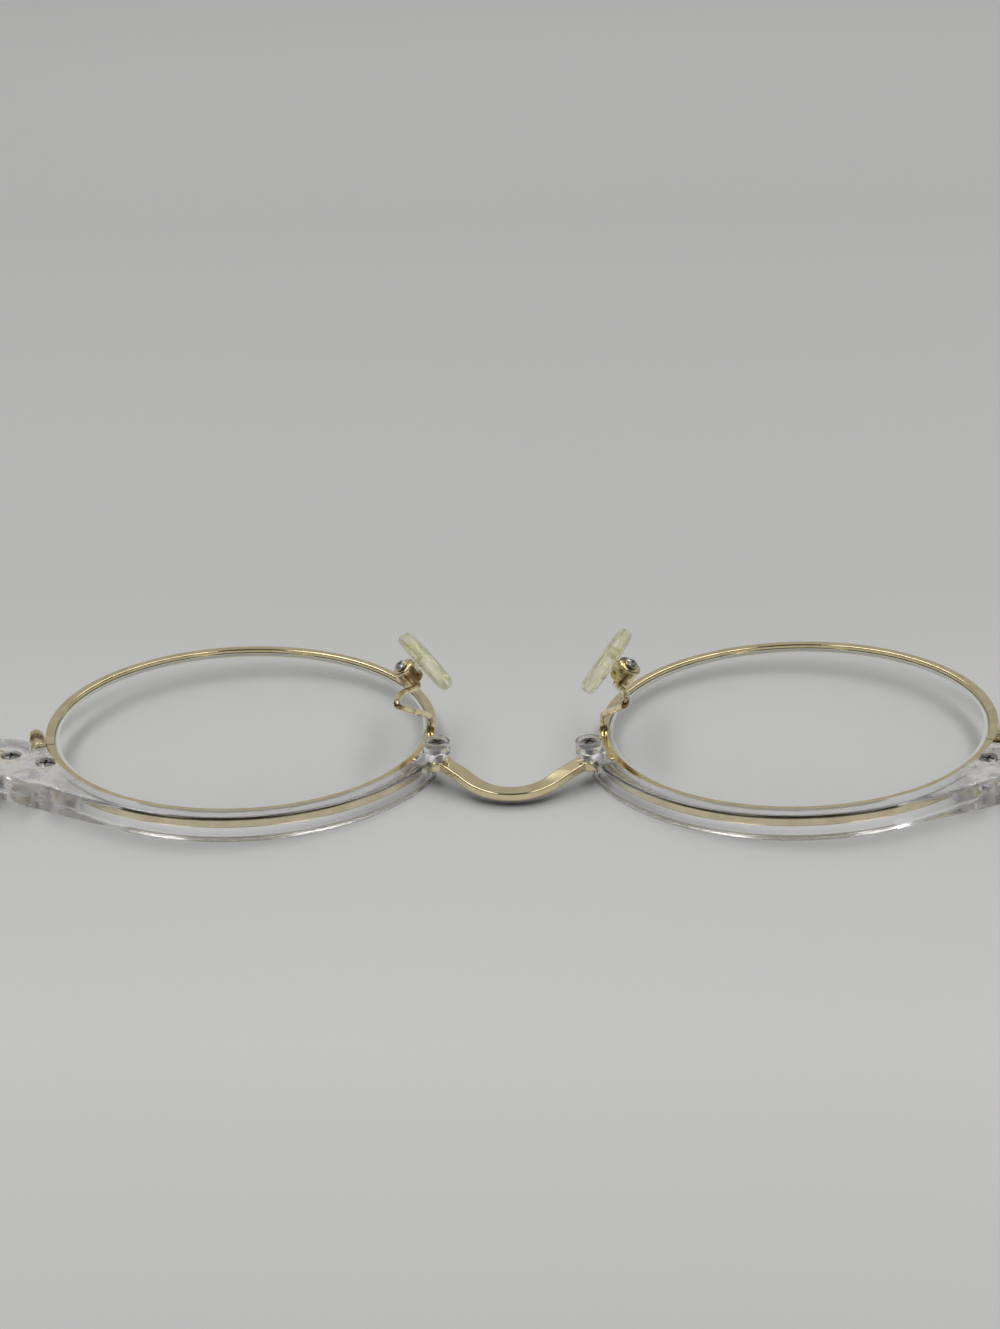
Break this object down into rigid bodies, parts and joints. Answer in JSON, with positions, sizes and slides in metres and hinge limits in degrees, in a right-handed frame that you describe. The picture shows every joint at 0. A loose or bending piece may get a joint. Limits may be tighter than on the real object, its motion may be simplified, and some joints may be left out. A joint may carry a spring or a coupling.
{
  "type": "eyeglasses",
  "caption": "Round eyeglasses with slim gold rims, a clear brow piece over each lens, an arched gold bridge, rocking nose pads and folding clear temples.",
  "frame": {"origin": "middle of the glasses' box, on the plane that the face-down front lies on", "axes": "X across the face with the wearer's left at +X, +Y the wearer's down, +Z the wearer's back, up while the front lies face down"},
  "size_m": [0.1396, 0.0612, 0.1434],
  "materials": {
    "gold": "polished pale gold plate",
    "screw_steel": "turned steel",
    "clear_acetate": "polished clear",
    "lens": "clear, coated",
    "soft_pad": "soft, slightly yellowed"
  },
  "bodies": {
    "front": {"left_eyewire": "gold", "left_closing_block_upper": "gold", "left_closing_block_lower": "gold", "left_rim_lug": "gold", "left_pad_arm": "gold", "left_pad_box": "gold", "left_hinge_front": "gold", "left_closing_screw": "screw_steel", "left_brow_inner_screw": "screw_steel", "left_brow_outer_screw": "screw_steel", "left_brow_nose_screw": "screw_steel", "left_hinge_screw": "screw_steel", "left_pad_screw": "screw_steel", "left_brow": "clear_acetate", "left_lens": "lens", "right_eyewire": "gold", "right_closing_block_upper": "gold", "right_closing_block_lower": "gold", "right_rim_lug": "gold", "right_pad_arm": "gold", "right_pad_box": "gold", "right_hinge_front": "gold", "right_closing_screw": "screw_steel", "right_brow_inner_screw": "screw_steel", "right_brow_outer_screw": "screw_steel", "right_brow_nose_screw": "screw_steel", "right_hinge_screw": "screw_steel", "right_pad_screw": "screw_steel", "right_brow": "clear_acetate", "right_lens": "lens", "bridge": "gold"},
    "left_temple": {"left_temple": "clear_acetate", "left_temple_core": "gold", "left_hinge_leaf": "gold"},
    "right_temple": {"right_temple": "clear_acetate", "right_temple_core": "gold", "right_hinge_leaf": "gold"},
    "left_pad": {"left_nose_pad": "soft_pad", "left_pad_stem": "soft_pad"},
    "right_pad": {"right_nose_pad": "soft_pad", "right_pad_stem": "soft_pad"}
  },
  "joints": [
    {"name": "left_temple_fold", "type": "hinge", "parent": "front", "child": "left_temple", "pos_m": [0.06496, -0.01626, 0.00764], "axis": [0, -1, 0], "range_deg": [0, 84]},
    {"name": "right_temple_fold", "type": "hinge", "parent": "front", "child": "right_temple", "pos_m": [-0.06496, -0.01626, 0.00764], "axis": [0, 1, 0], "range_deg": [0, 76]},
    {"name": "left_pad_rock", "type": "hinge", "parent": "front", "child": "left_pad", "pos_m": [0.01349, -0.0024, 0.00957], "axis": [0.5398, -0.1428, 0.8296], "range_deg": [-8, 8]},
    {"name": "right_pad_rock", "type": "hinge", "parent": "front", "child": "right_pad", "pos_m": [-0.01349, -0.0024, 0.00957], "axis": [-0.5398, -0.1428, 0.8296], "range_deg": [-8, 8]}
  ]
}
